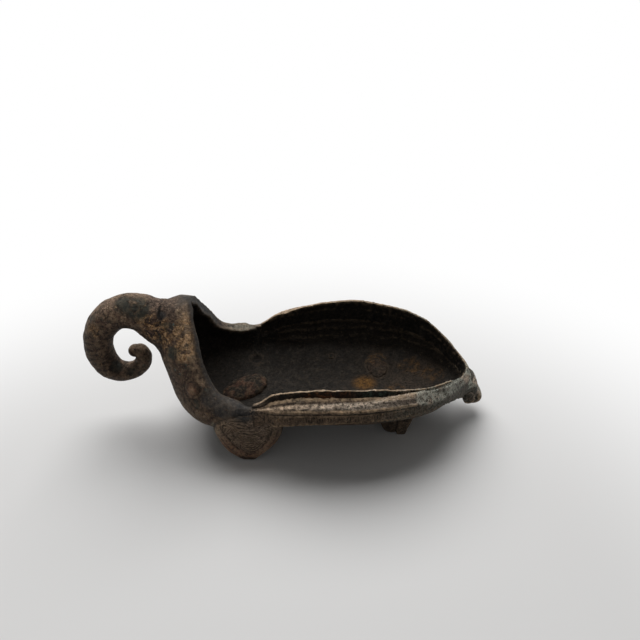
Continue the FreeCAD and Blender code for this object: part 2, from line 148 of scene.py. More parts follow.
class Finish:
    def __init__(self, name):
        self.material = bpy.data.materials.new(name)
        self.material.use_nodes = True
        self.tree = self.material.node_tree
        self.tree.nodes.clear()
        self.place = self.node("ShaderNodeTexCoord").outputs["Object"]

    def node(self, kind, settings=None, values=()):
        return add_node(self.tree, kind, settings, values)

    def grain(self, size, detail=3.0, roughness=0.55, warp=0.0):
        """Noise whose lumps are about size millimetres across."""
        values = {"Vector": self.place, "Scale": 1000 / size, "Detail": detail,
                  "Roughness": roughness, "Distortion": warp}
        return Value(self, self.node("ShaderNodeTexNoise", None, values).outputs[0])

    def cells(self, size):
        """0 at scattered points about size millimetres apart, rising away from them."""
        values = {"Vector": self.place, "Scale": 1000 / size}
        return Value(self, self.node("ShaderNodeTexVoronoi", None, values).outputs["Distance"])

    def drawn(self, name):
        """A value that was worked out on the mesh and kept as an attribute."""
        node = self.node("ShaderNodeAttribute", {"attribute_name": name})
        return Value(self, node.outputs["Fac"])

    def axes(self):
        split = self.node("ShaderNodeSeparateXYZ", None, [self.place])
        return [Value(self, socket) for socket in split.outputs]

    def spot(self, centre, radius, blur=0.5):
        """1 near a place given in millimetres, 0 away from it."""
        middle = [c * MM for c in centre]
        away = self.node("ShaderNodeVectorMath", {"operation": "DISTANCE"}, [self.place, middle])
        near = 1 - Value(self, away.outputs["Value"]) / (radius * MM)
        return near.step(0, blur)

    def blend(self, share, first, second):
        mix = self.node("ShaderNodeMix", {"data_type": "RGBA", "clamp_factor": True})
        for name, value in (("Factor", share), ("A", first), ("B", second)):
            of_kind = [s for s in mix.inputs if s.name == name and s.enabled]
            if isinstance(value, tuple):
                value = (*value, 1.0)
            put(self.tree, of_kind[0], value)
        return [s for s in mix.outputs if s.enabled][0]


print("shader expressions ready")

# %% [markdown]
# The vessel stands on a pale table that runs off to white. Only the camera and glossy
# reflections see that white: it is mixed in far from the vessel, so it sends no soft
# light onto the bronze, and the shadow near the feet stays as the lamps make it.

# %% Table and backdrop
WHITE = (1, 1, 1, 1)
TABLE_GREY = (0.68, 0.675, 0.668)
TABLE_SIDE = 6.0
WHITE_CENTRE = (-0.02, -0.14, 0)
WHITE_FROM = 155
WHITE_AT = 350

table_mesh = bpy.data.meshes.new("table")
reach = TABLE_SIDE / 2
corners = [(-reach, -reach, 0), (reach, -reach, 0), (reach, reach, 0), (-reach, reach, 0)]
table_mesh.from_pydata(corners, [], [(0, 1, 2, 3)])
table = bpy.data.objects.new("table", table_mesh)
bpy.context.scene.collection.objects.link(table)

paper = Finish("table")
plain = paper.node("ShaderNodeBsdfDiffuse", None, {"Color": (*TABLE_GREY, 1)})
glow = paper.node("ShaderNodeEmission", None, {"Color": WHITE, "Strength": 1.0})
rays = paper.node("ShaderNodeLightPath")
distance = paper.node("ShaderNodeVectorMath", {"operation": "DISTANCE"}, [paper.place, WHITE_CENTRE])
far_off = Value(paper, distance.outputs["Value"]).step(WHITE_FROM * MM, WHITE_AT * MM)
seen = Value(paper, rays.outputs["Is Camera Ray"]).most(Value(paper, rays.outputs["Is Glossy Ray"]))
mixed = paper.node("ShaderNodeMixShader", None, [far_off * seen, plain.outputs[0], glow.outputs[0]])
paper.node("ShaderNodeOutputMaterial", None, [mixed.outputs[0]])
table_mesh.materials.append(paper.material)
print("table", TABLE_SIDE, "m square")

# %% [markdown]
# Daylight comes softly from above and behind, so tops are light, the side towards the
# camera is about a third as bright, and the soft shadow falls forwards under the belly.
# A large area lamp does that, with a weak one in front and an even pale world.

# %% Lamps
WORLD_LIGHT = 0.14


def soft_lamp(name, stands, aims, side, watts):
    lamp = bpy.data.lights.new(name, "AREA")
    lamp.shape = "SQUARE"
    lamp.size = side
    lamp.energy = watts
    holder = bpy.data.objects.new(name, lamp)
    holder.location = stands
    holder.rotation_euler = (Vector(aims) - Vector(stands)).to_track_quat("-Z", "Y").to_euler()
    bpy.context.scene.collection.objects.link(holder)


soft_lamp("window", (-0.12, 0.66, 1.22), (0, 0, 0), 1.35, 25.5)
soft_lamp("room", (-0.2, -1.2, 0.9), (0, 0, 0.03), 1.2, 0.4)
world = bpy.data.worlds.new("room")
world.use_nodes = True
sky = world.node_tree
sky.nodes.clear()
light = add_node(sky, "ShaderNodeBackground", None, {"Color": WHITE, "Strength": WORLD_LIGHT})
backdrop = add_node(sky, "ShaderNodeBackground", None, {"Color": WHITE, "Strength": 1.0})
rays = add_node(sky, "ShaderNodeLightPath").outputs
seen = [rays["Is Camera Ray"], rays["Is Glossy Ray"]]
either = add_node(sky, "ShaderNodeMath", {"operation": "MAXIMUM"}, seen)
shares = [either.outputs[0], light.outputs[0], backdrop.outputs[0]]
choice = add_node(sky, "ShaderNodeMixShader", None, shares)
add_node(sky, "ShaderNodeOutputWorld", None, [choice.outputs[0]])
bpy.context.scene.world = world
print("two soft lamps and a pale world")

# %% [markdown]
# A casting's surface is never quite even. To push it about, it needs many small faces
# of one size, and the CAD's triangles are long and thin. Each node's mesh is copied and
# merged, and a voxel remesh rebuilds it as a closed skin with an even grain. Its sharp
# edges come out slightly rounded, which is right for old bronze. Where the founder's
# bronze closed a hole, such as round a foot's tenon or behind the end plate's roll, a
# short plug is joined in before the remesh, which melts the two into one skin.

# %% Even skins
# start, end and radius of each plug in millimetres
PLUGS = {
    "bowl_body": [((-20, 24, 16.6), (-20, 24, 20.6), 3.9), ((-20, -24, 16.6), (-20, -24, 20.6), 3.9),
                  ((24.4, 26.5, 15.6), (24.4, 26.5, 19.6), 2.4)],
    "tip_curl": [((104.9, -5.2, 10.6), (104.9, 5.2, 10.6), 2.6), ((101.2, -8.6, 14.2), (101.2, 8.6, 14.2), 3.6)],
}


def closed_casting(node):
    """A copy of the node's mesh, merged, with its plugs joined in."""
    mesh = frame["nodes"][node].data.copy()
    shape = bmesh.new()
    shape.from_mesh(mesh)
    bmesh.ops.remove_doubles(shape, verts=shape.verts, dist=1e-6)
    for start, end, radius in PLUGS.get(node, []):
        start, end = Vector(start) * MM, Vector(end) * MM
        turn = (end - start).to_track_quat("Z", "Y").to_matrix().to_4x4()
        where = Matrix.Translation((start + end) / 2) @ turn
        bmesh.ops.create_cone(shape, cap_ends=True, segments=24, radius1=radius * MM, radius2=radius * MM,
                              depth=(end - start).length, matrix=where)
    shape.to_mesh(mesh)
    shape.free()
    return mesh


class Skin:
    """One casting's surface, as arrays of points and edges."""

    def __init__(self, name, mesh, grain, rounds=3):
        self.piece = bpy.data.objects.new(name, mesh)
        bpy.context.scene.collection.objects.link(self.piece)
        remesh = self.piece.modifiers.new("grain", "REMESH")
        remesh.mode = "VOXEL"
        remesh.voxel_size = grain * MM
        graph = bpy.context.evaluated_depsgraph_get()
        even = bpy.data.meshes.new_from_object(self.piece.evaluated_get(graph))
        self.piece.modifiers.clear()
        self.piece.data = even
        self.mesh = even
        for face in even.polygons:
            face.use_smooth = True
        self.count = len(even.vertices)
        self.points = np.empty(self.count * 3)
        even.vertices.foreach_get("co", self.points)
        self.points = self.points.reshape(-1, 3) * 1000
        ends = np.empty(len(even.edges) * 2, int)
        even.edges.foreach_get("vertices", ends)
        self.ends = ends.reshape(-1, 2)
        self.links = np.bincount(self.ends.ravel(), minlength=self.count)
        self.relax(rounds)
        self.start = self.points.copy()
        self.start_normals = self.normals()
        self.melted = np.zeros(self.count)

    def around(self, values):
        """The mean of each point's neighbours."""
        one, other = self.ends.T
        if values.ndim == 1:
            total = np.bincount(one, values[other], self.count) + np.bincount(other, values[one], self.count)
            return total / self.links
        return np.stack([self.around(column) for column in values.T], axis=1)

    def relax(self, rounds):
        """Smooths without shrinking: a step in, then a slightly larger step out."""
        for step in [0.5, -0.53] * rounds:
            self.points += step * (self.around(self.points) - self.points)

    def normals(self):
        self.mesh.vertices.foreach_set("co", (self.points * MM).ravel())
        self.mesh.update()
        found = np.empty(self.count * 3)
        self.mesh.vertex_normals.foreach_get("vector", found)
        return found.reshape(-1, 3)

    def lift(self, amount):
        """Moves each point out along its normal, in millimetres."""
        self.points += self.normals() * np.asarray(amount).reshape(-1, 1)

    def mark(self, name, values):
        """Keeps a value at each point for the bronze to read."""
        layer = self.mesh.attributes.new(name, "FLOAT", "POINT")
        layer.data.foreach_set("value", np.asarray(values, np.float32))

    def tree(self):
        faces = [tuple(face.vertices) for face in self.mesh.polygons]
        return BVHTree.FromPolygons([Vector(p) for p in self.points], faces)


# size of a skin's faces in millimetres
GRAIN = {
    "bowl_body": 0.897, "rim_band": 0.483, "inner_lip": 0.575, "scroll_handle": 0.575, "tip_curl": 0.345,
    "foot_rear_left": 0.437, "foot_rear_right": 0.437, "foot_front_left": 0.391, "foot_front_right": 0.391,
    "front_lock_left": 0.345, "front_lock_right": 0.345, "floor_patch": 0.414,
    "eye_boss_left": 0.253, "eye_boss_right": 0.253, "core_spacer": 0.23,
}
skins = {}
for node, size in GRAIN.items():
    skins[node] = Skin("cast_" + node, closed_casting(node), size)
    print(node, len(skins[node].mesh.polygons), "faces")

# %% [markdown]
# The tenons of the rear feet end flush with the floor of the bowl, where the bronze that
# was poured in hides them. They are pressed a little lower, so that they stay hidden.

# %% Hidden tenons
TENON_TOP = 18.2
TENON_X, TENON_Y, TENON_REACH = -20, 24, 5
for side in ("left", "right"):
    foot = skins["foot_rear_" + side]
    from_axis = np.hypot(foot.points[:, 0] - TENON_X, np.abs(foot.points[:, 1]) - TENON_Y)
    tenon = from_axis < TENON_REACH
    foot.points[tenon, 2] = np.minimum(foot.points[tenon, 2], TENON_TOP)
print("tenons end at", TENON_TOP, "mm")

# %% [markdown]
# Where two castings meet, the bronze that was poured second ran a little way over the
# first. Each added piece is sunk a little into what carries it, and both surfaces then
# swell towards the joint, most at the joint itself, so that they flow together.

# %% Run-in joints
SWELL = 0.25


def smooth_step(low, high, values):
    share = np.clip((values - low) / (high - low), 0, 1)
    return share * share * (3 - 2 * share)


def gap_to(skin, tree, reach):
    """Distance to the other surface, where it lies within reach and faces this point."""
    gap = np.full(skin.count, np.inf)
    facing = np.zeros(skin.count)
    inwards = np.zeros((skin.count, 3))
    normals = skin.normals()
    for i, point in enumerate(skin.points):
        place, normal, index, distance = tree.find_nearest(Vector(point), reach)
        if place is None:
            continue
        away = point - np.array(place)
        gap[i] = distance if away @ np.array(normal) > -0.02 * max(distance, 0.2) else -distance
        facing[i] = -(away @ normals[i]) / max(distance, 1e-6)
        inwards[i] = -np.array(normal)
    return gap, facing, inwards


def seat(added, carrier, depth):
    """Sinks the face that rests on the carrier a little way into it."""
    gap, facing, inwards = gap_to(skins[added], skins[carrier].tree(), 1.0)
    share = 1 - smooth_step(0.45, 0.9, np.abs(gap))
    skins[added].points += inwards * (depth * share)[:, None]


def run_in(one, other, reach):
    """Swells both surfaces towards their joint."""
    trees = {one: skins[one].tree(), other: skins[other].tree()}
    swell = {}
    for here, there in ((one, other), (other, one)):
        gap, facing, inwards = gap_to(skins[here], trees[there], reach)
        share = np.clip(1 - np.abs(gap) / reach, 0, 1)
        outside = (gap > 0) * smooth_step(-0.95, -0.6, facing)
        swell[here] = SWELL * reach * share ** 2 * outside
    for here, amount in swell.items():
        skins[here].lift(amount)


print("seat and run_in ready")

# %% [markdown]
# The handle was poured onto the prow while both were hot, and no line shows between
# them. A third skin is laid over the two, smoothed along their joint, and both are drawn
# onto it. What lies inside the other casting is kept a little under it, so that the two
# don't flicker.

# %% Melted joints
BURIED = (0.06, 0.2)
PULL = 0.7
ROUNDED = 4


def everywhere(points):
    return np.ones(len(points))


def left_of(x):
    """A share that is 0 from x on, and 1 five millimetres left of it."""
    return lambda points: smooth_step(x, x - 5, points[:, 0])


def near_tip(points):
    return smooth_step(64, 69, points[:, 0]) * smooth_step(4, -8, points[:, 1])


def melt(one, other, grain, reach, rounds, where=everywhere):
    """Draws two skins onto one smooth surface round their joint, where asked."""
    pair = [skins[one], skins[other]]
    faces = [tuple(face.vertices) for face in pair[0].mesh.polygons]
    faces += [tuple(v + pair[0].count for v in face.vertices) for face in pair[1].mesh.polygons]
    mesh = bpy.data.meshes.new("melted")
    mesh.from_pydata((np.concatenate([skin.points for skin in pair]) * MM).tolist(), [], faces)
    whole = Skin("melted", mesh, grain, 1)
    trees = [skin.tree() for skin in pair]
    away = np.full((2, whole.count), 99.0)
    for row, tree in enumerate(trees):
        for i, point in enumerate(whole.points):
            distance = tree.find_nearest(Vector(point), reach)[3]
            if distance is not None:
                away[row, i] = distance
    near = (1 - smooth_step(0.5, 1.0, away.max(axis=0) / reach)) * where(whole.points)
    for step in range(rounds):
        whole.points += near[:, None] * PULL * (whole.around(whole.points) - whole.points)
    shared = whole.tree()
    for skin, tree, depth in zip(pair, trees[::-1], BURIED):
        gap, facing, inwards = gap_to(skin, tree, reach)
        share = (1 - smooth_step(0.45, 0.95, np.abs(gap) / reach)) * smooth_step(-2.4, -1.4, gap)
        share *= where(skin.points)
        skin.melted = np.maximum(skin.melted, share)
        for turn in range(2):
            for i in np.nonzero(share > 0)[0]:
                place, normal, index, distance = shared.find_nearest(Vector(skin.points[i]), 6)
                if place is not None:
                    under = depth if gap[i] < 0 else 0.0
                    skin.points[i] += share[i] * (np.array(place - normal * under) - skin.points[i])
            if turn == 0:
                for step in range(ROUNDED):
                    skin.points += 0.5 * share[:, None] * (skin.around(skin.points) - skin.points)
    bpy.data.objects.remove(whole.piece)
    print(one, "melted into", other)


print("melt ready")

# %% [markdown]
# Now the castings are joined, and sinking comes first, while they still touch as in the
# CAD. No line shows at the handle, where the ledge runs out into the prow with the flaps
# under it, and at the narrow end, so these are melted. The feet, the eyes, the locks and
# the lip keep a line, and only swell towards it.

# %% Join the castings
# how deep each casting is sunk into the bowl, in millimetres
SUNK = {
    "scroll_handle": 2.0, "foot_rear_left": 1.0, "foot_rear_right": 1.0, "foot_front_left": 1.0,
    "foot_front_right": 1.0, "tip_curl": 0.8, "rim_band": 0.8, "front_lock_left": 0.6, "front_lock_right": 0.6,
    "floor_patch": 0.5, "eye_boss_left": 0.5, "eye_boss_right": 0.5,
}
for added, depth in SUNK.items():
    seat(added, "bowl_body", depth)
melt("scroll_handle", "bowl_body", 0.9, 9, 30)
for side in ("left", "right"):
    run_in("foot_rear_" + side, "bowl_body", 4)
    run_in("foot_rear_" + side, "rim_band", 3)
    run_in("foot_front_" + side, "bowl_body", 3)
    run_in("eye_boss_" + side, "bowl_body", 1.6)
run_in("tip_curl", "rim_band", 3.5)
run_in("inner_lip", "rim_band", 5)
run_in("rim_band", "bowl_body", 3)
melt("rim_band", "bowl_body", 0.8, 10, 60, left_of(-7))
for side in ("left", "right"):
    melt("foot_rear_" + side, "rim_band", 0.6, 5, 25, left_of(-4))
melt("inner_lip", "rim_band", 0.6, 7, 30, near_tip)
melt("tip_curl", "rim_band", 0.6, 6, 24)
for side in ("left", "right"):
    run_in("front_lock_" + side, "bowl_body", 3)
print("joints run in")

# %% [markdown]
# The relief comes next, drawn with functions of the place on the vessel. Perlin noise
# gives the unevenness of the mould; waves bent by noise give the flutes on the inner
# wall and the carved lines on the flaps.

# %% Mould unevenness
def lumps(points, size, octaves=2, seed=0):
    """Noise from about -1 to 1, with lumps about size millimetres across."""
    shift = Vector((seed * 17.3, seed * 5.9, seed * 11.1))
    return np.array([noise.fractal(Vector(p) / size + shift, 1.0, 2.0, octaves) for p in points])


MOUTH = np.array([0.0, 0.0, 65.0])
FLUTE_HEIGHT = 0.22
FLUTE_STEP = 4.6

bowl = skins["bowl_body"]
x, y, z = bowl.start.T
faces_x, faces_y, faces_z = bowl.start_normals.T
to_mouth = MOUTH - bowl.start
facing_mouth = np.einsum("ij,ij->i", bowl.start_normals, to_mouth) / np.linalg.norm(to_mouth, axis=1)
inner = smooth_step(-0.1, 0.25, facing_mouth)
steep = 1 - smooth_step(0.35, 0.75, np.abs(faces_z))
flutes = np.sin(2 * math.pi * (z / FLUTE_STEP + 0.35 * lumps(bowl.start, 15, 2, 1)))
fluted = inner * steep * smooth_step(-30, 0, x)
uneven = 0.30 * lumps(bowl.start, 13, 2, 2) + 0.10 * lumps(bowl.start, 3.5, 2, 3)
bowl.lift(FLUTE_HEIGHT * flutes * fluted + uneven)
print("flutes", FLUTE_STEP, "mm apart")

# %% [markdown]
# The prow's edge is rubbed down to a smooth slate-grey strip. On the near side it is
# bevelled: the inner side of the edge stands further out than the outer one. How far a
# point lies between the two sides tells how far it moves, and the strip is then smoothed.

# %% Bevelled rim
BEVEL = 3.2
across = 1 - smooth_step(0.30, 0.62, np.abs(faces_y))
opening = smooth_step(0.0, 0.35, faces_x + 0.5 * faces_z)
rim = across * opening * smooth_step(29, 33, z) * (1 - smooth_step(-14, -8, x)) * smooth_step(-57, -55, x)
for step in range(3):
    rim = bowl.around(rim)
far_ledge = smooth_step(-44, -37, x) * smooth_step(8, 16, y)
bowl.mark("rim", rim * (1 - far_ledge))
bowl.mark("top", 1 - smooth_step(-14, -9, x))


def nearest_of(mask, wanted, limit=30.0):
    """Distance from each wanted point to the nearest masked point of the bowl."""
    chosen = np.nonzero(mask)[0]
    store = kdtree.KDTree(len(chosen))
    for i in chosen:
        store.insert(Vector(bowl.start[i]), int(i))
    store.balance()
    found = np.full(bowl.count, limit)
    for i in np.nonzero(wanted)[0]:
        found[i] = store.find(Vector(bowl.start[i]))[2]
    return found


edge = (z > 30) & (x < -16) & (x > -58) & (y < 2)
from_rim = nearest_of(rim > 0.6, edge)
from_inner = nearest_of((inner > 0.9) & (rim < 0.1) & edge, edge)
from_outer = nearest_of((inner < 0.1) & (rim < 0.1) & edge, edge)
share = from_outer / (from_outer + from_inner + 1e-6)
share = np.where(edge, np.where(inner * (1 - rim) > 0.5, 1.0, share), 0.0) * np.exp(-(from_rim / 2.5) ** 2)
bevel = share * (1 - smooth_step(-3, 2, y)) * smooth_step(32, 40, z)
for step in range(8):
    bevel = bowl.around(bevel)
bowl.points[:, 0] += BEVEL * bevel
bowl.points[:, 2] += 0.3 * BEVEL * bevel
beside = np.exp(-(from_rim / 3.5) ** 2) * edge * (1 - smooth_step(-1, 2, y))
for step in range(30):
    bowl.points += 0.5 * beside[:, None] * (bowl.around(bowl.points) - bowl.points)
bowl.mark("inner", inner * (1 - rim))
print("bevel", BEVEL, "mm,", int((bevel > 0.5).sum()), "points")

# %% [markdown]
# The ledge is not flat: it rises towards the lip and rounds over at its outer edge. A
# groove runs below the edge. Hands have rubbed a strip of the ledge bright, and it
# widens towards the narrow end until it takes in the whole face there.

# %% Ledge
# x, half width, top and bottom of the frieze, in millimetres
FRIEZE = [
    (-17, 41.8, 38.4, 27.2), (-10, 44.6, 40.0, 29.6), (-2.5, 47.4, 41.7, 31.9), (7.5, 49.2, 43.0, 34.0),
    (22, 50.6, 43.8, 35.6), (33, 50.9, 43.9, 36.1), (45, 49.2, 43.2, 35.4), (56, 46.0, 42.0, 34.0),
    (66, 42.2, 40.5, 33.0), (77, 36.6, 38.3, 31.4), (83, 31.8, 36.7, 29.4), (88, 26.2, 34.8, 26.4),
    (94, 17.6, 31.6, 21.6), (98, 11.8, 29.4, 18.6), (101, 7.2, 27.8, 17.0),
]
rows = np.array(FRIEZE).T
GROOVE_DEPTH = 0.22
BEAD_HEIGHT = 0.15


def frieze_at(x, column):
    return np.interp(x, rows[0], rows[column])


band = skins["rim_band"]
bx, by, bz = band.start.T
inside_edge = np.interp(bx, [-17, 11, 39, 67, 88, 98], [38.6, 42.4, 43.9, 37.6, 23.6, 9.0])
outer_edge = frieze_at(bx, 1)
across_ledge = (np.abs(by) - inside_edge) / (outer_edge - inside_edge)
inwards = 1 - smooth_step(0.05, 0.95, across_ledge)
upwards = smooth_step(0.3, 0.8, band.start_normals[:, 2])
rise = np.interp(bx, [-14, 6, 50, 66, 82, 92, 98], [0, 2.2, 2.2, 3.3, 3.4, 2.0, 0.3])
band.points[:, 2] += rise * inwards * upwards

sideways = 1 - smooth_step(0.35, 0.7, np.abs(band.start_normals[:, 2]))
below_edge = frieze_at(bx, 2) - bz
groove = np.exp(-((below_edge - 1.7) / 0.45) ** 2)
bead = np.exp(-((below_edge - 0.6) / 0.5) ** 2)
fading = (1 - smooth_step(48, 72, bx)) * smooth_step(-12, -2, bx)
band.lift((BEAD_HEIGHT * bead - GROOVE_DEPTH * groove) * sideways * fading)

near_from = np.interp(bx, [-17, -10, 8, 40, 60, 72], [0.55, 0.52, 0.46, 0.34, 0.05, -1.0])
near_to = np.interp(bx, [-17, 60, 80], [0.74, 0.86, 1.6])
past_start = smooth_step(-0.08, 0.08, across_ledge - np.where(by < 0, near_from, -1.0))
before_end = smooth_step(-0.08, 0.08, np.where(by < 0, near_to, 1.6) - across_ledge)
centre_side = -np.sign(by) * band.start_normals[:, 1] - 0.6 * band.start_normals[:, 0]
band_inner = smooth_step(0.2, 0.5, centre_side) * (1 - upwards)
band.mark("inner", band_inner)
band.mark("top", (1 - band_inner) * past_start * before_end)
# Painted shade: the frieze's upright faces are darkened a little, towards the handle end.
band.mark("shade", 0.12 * sideways * (1 - smooth_step(40, 60, bx)))
print("ledge rises", rise.max(), "mm")

# %% [markdown]
# The lip's edge dips and wanders, and on the near side it has sunk lower towards the
# narrow end. At its left ends it runs down into the ledge. Its outer side is painted
# dark, partly its dirt and partly painted shade, with rust and green in it.

# %% Lip
lip = skins["inner_lip"]
lx, ly, lz = lip.start.T
ledge_at = frieze_at(lx, 2)
upper = np.clip((lz - ledge_at) / 6.0, 0, 1.2)
near = 1 - smooth_step(-14, 6, ly)
sunk = np.interp(lx, [-17, 5, 27, 43, 57, 68, 81, 91, 98], [0, 0.4, 1.2, 1.9, 2.8, 3.6, 3.2, 2.6, 1.5])
lip.points[:, 2] -= near * sunk * upper
near_start = np.where(ly < 0, smooth_step(-17, -5, lx), 0.35 + 0.65 * smooth_step(-17.5, -8, lx))
lip.points[:, 2] -= (1 - near_start) * np.clip(lz - ledge_at + 0.5, 0, 9)
wander = lumps(np.stack([lx, ly, np.zeros_like(lx)], 1), 9, 3, 12)
lip.points[:, 2] += 0.45 * wander * upper
notch = np.exp(-((lx + 2.5) / 2.2) ** 2) * (ly > 0)
lip.points[:, 2] -= 0.9 * notch * upper
centre_side = -np.sign(ly) * lip.start_normals[:, 1] - 0.6 * lip.start_normals[:, 0]
faces_up = lip.start_normals[:, 2]
lip_inner = smooth_step(0.05, 0.35, centre_side) * (1 - smooth_step(0.45, 0.8, faces_up))
lip.points[:, 1] -= np.sign(ly) * 0.7 * np.clip(upper, 0, 1) * smooth_step(0.2, 0.7, -centre_side)
lip.mark("inner", lip_inner)
# Painted shade: the lip's outer side, below its top, is darkened, less towards the narrow end.
lip.mark("shade", (1 - lip_inner) * (1 - smooth_step(0.2, 0.5, faces_up)) * (1 - smooth_step(48, 64, lx)))
lip.mark("top", np.ones(lip.count))
print("lip sunk", sunk.max(), "mm at most")

# %% [markdown]
# The handle is the least even casting, because its mould was the hardest to fill. Its
# underside and its low far curl are painted darker, as painted shade. The small castings
# are rough, the locks and the patch most of all, with rust in places, and each eye boss
# is painted darker in a ring towards its edge, as painted shade.

# %% Handle and small castings
EYE_X, EYE_Z, EYE_RADIUS = -47.3, 44.4, 3.9
handle = skins["scroll_handle"]
handle.lift(0.42 * lumps(handle.start, 10, 2, 4) + 0.16 * lumps(handle.start, 3, 2, 5))
for name, size, height in (("rim_band", 9, 0.22), ("inner_lip", 7, 0.22), ("tip_curl", 5, 0.15)):
    skins[name].lift(height * lumps(skins[name].start, size, 3, 6))
# Painted shade: faces that look down, and the handle's low and far parts, are painted darker.
low_part = 1 - smooth_step(42, 62, handle.start[:, 2])
far_part = 1 - smooth_step(-104, -88, handle.start[:, 0])
faces_up = handle.start_normals[:, 2]
aside = 0.75 * np.maximum(low_part, far_part) * (1 - smooth_step(0.3, 0.8, faces_up))
handle.mark("shade", 0.65 * np.maximum(smooth_step(0.0, 0.6, -faces_up), aside))
for name in ("front_lock_left", "front_lock_right", "floor_patch"):
    skins[name].lift(0.45 * lumps(skins[name].start, 4, 3, 7))
    skins[name].mark("ruddy", 0.5 * smooth_step(-0.2, 0.4, lumps(skins[name].start, 5, 2, 14)))
for side in ("left", "right"):
    boss = skins["eye_boss_" + side]
    # Painted shade: each eye boss darkens in a ring towards its edge.
    from_middle = np.hypot(boss.start[:, 0] - EYE_X, boss.start[:, 2] - EYE_Z) / EYE_RADIUS
    boss.mark("shade", 0.85 * smooth_step(0.45, 0.85, from_middle))
    boss.mark("ruddy", np.ones(boss.count))
print("mould unevenness on", len(skins), "castings")

# %% [markdown]
# The flap feet are carved with fine strands. They lie level under the frieze and bow
# down with the flap's outline lower on, inside a thick rounded edge. A distance that is
# 0 at the middle of the top edge and 1 on the outline tells where each one runs, and
# noise bends them so that they flow.

# %% Carved flaps
STRANDS = 19
MIDDLE, TOP, HALF_WIDE, TALL = -20.5, 33.0, 17.5, 33.5
OUTLINE_POWER = 1.6
for side in ("left", "right"):
    flap = skins["foot_rear_" + side]
    px, py, pz = flap.start.T
    across, down = np.abs(px - MIDDLE) / HALF_WIDE, np.abs(TOP - pz) / TALL
    ring = (across ** OUTLINE_POWER + down ** OUTLINE_POWER) ** (1 / OUTLINE_POWER)
    bowed = smooth_step(0.35, 0.8, ring)
    strand = (1 - bowed) * (TOP - pz) / TALL * 0.9 + bowed * ring
    strand = strand + 0.055 * lumps(flap.start, 6, 2, 8) + 0.10 * lumps(flap.start, 17, 1, 15)
    face = smooth_step(0.5, 0.85, flap.start_normals[:, 1] * np.sign(py))
    carved = face * (1 - smooth_step(0.78, 0.84, ring))
    wave = np.cos(2 * math.pi * STRANDS * strand)
    flap.lift(0.10 * wave * carved + 0.15 * lumps(flap.start, 6, 3, 9))
    rounded_edge = 0.42 * np.exp(-((ring - 0.90) / 0.07) ** 2) - 0.05 * np.exp(-((ring - 0.80) / 0.03) ** 2)
    flap.lift(face * rounded_edge)
    flap.mark("ruddy", smooth_step(0.76, 0.88, ring) * (1 - smooth_step(12, 24, pz)))
    flap.mark("dark", 0.55 * carved * smooth_step(0.1, 0.9, -wave))
    # Painted shade: each flap is darkened near the ground, on its edge faces and towards its right side.
    near_ground = 0.95 * (1 - smooth_step(1.2, 4.5, pz))
    right_side = 0.6 * smooth_step(-11, -5, px) * (1 - smooth_step(26, 32, pz))
    flap.mark("shade", np.maximum(near_ground, np.maximum(0.9 * (1 - face), right_side)))
print("flaps carved with", STRANDS, "strands")

# %% [markdown]
# Each small front foot has two lobes with a slanting cut between them. Both are painted
# darker as painted shade, the lobe towards the handle most, where it lies under the belly.

# %% Front feet
CUT_X, CUT_SLANT, CUT_WIDTH, CUT_DEPTH = 58.5, 0.12, 0.8, 0.9
for side in ("left", "right"):
    stub = skins["foot_front_" + side]
    px, py, pz = stub.start.T
    cut = np.exp(-((px - CUT_X - CUT_SLANT * pz) / CUT_WIDTH) ** 2)
    stub.lift(0.2 * lumps(stub.start, 4, 3, 10) - CUT_DEPTH * cut)
    # Painted shade: the whole foot is darkened, the lobe towards the handle most.
    stub.mark("shade", 0.55 + 0.4 * (1 - smooth_step(55, 62, px)))
print("front feet cut", CUT_DEPTH, "mm deep")

# %% [markdown]
# The frieze under the ledge carries fine upright ribs and, along its lower edge, a row
# of small beads. Both are one Geometry Nodes tree: a line is divided into even steps,
# each step is laid onto the band's own surface, and a small drop of bronze is set there,
# turned along the line, a little different each time. Half of each drop is sunk.

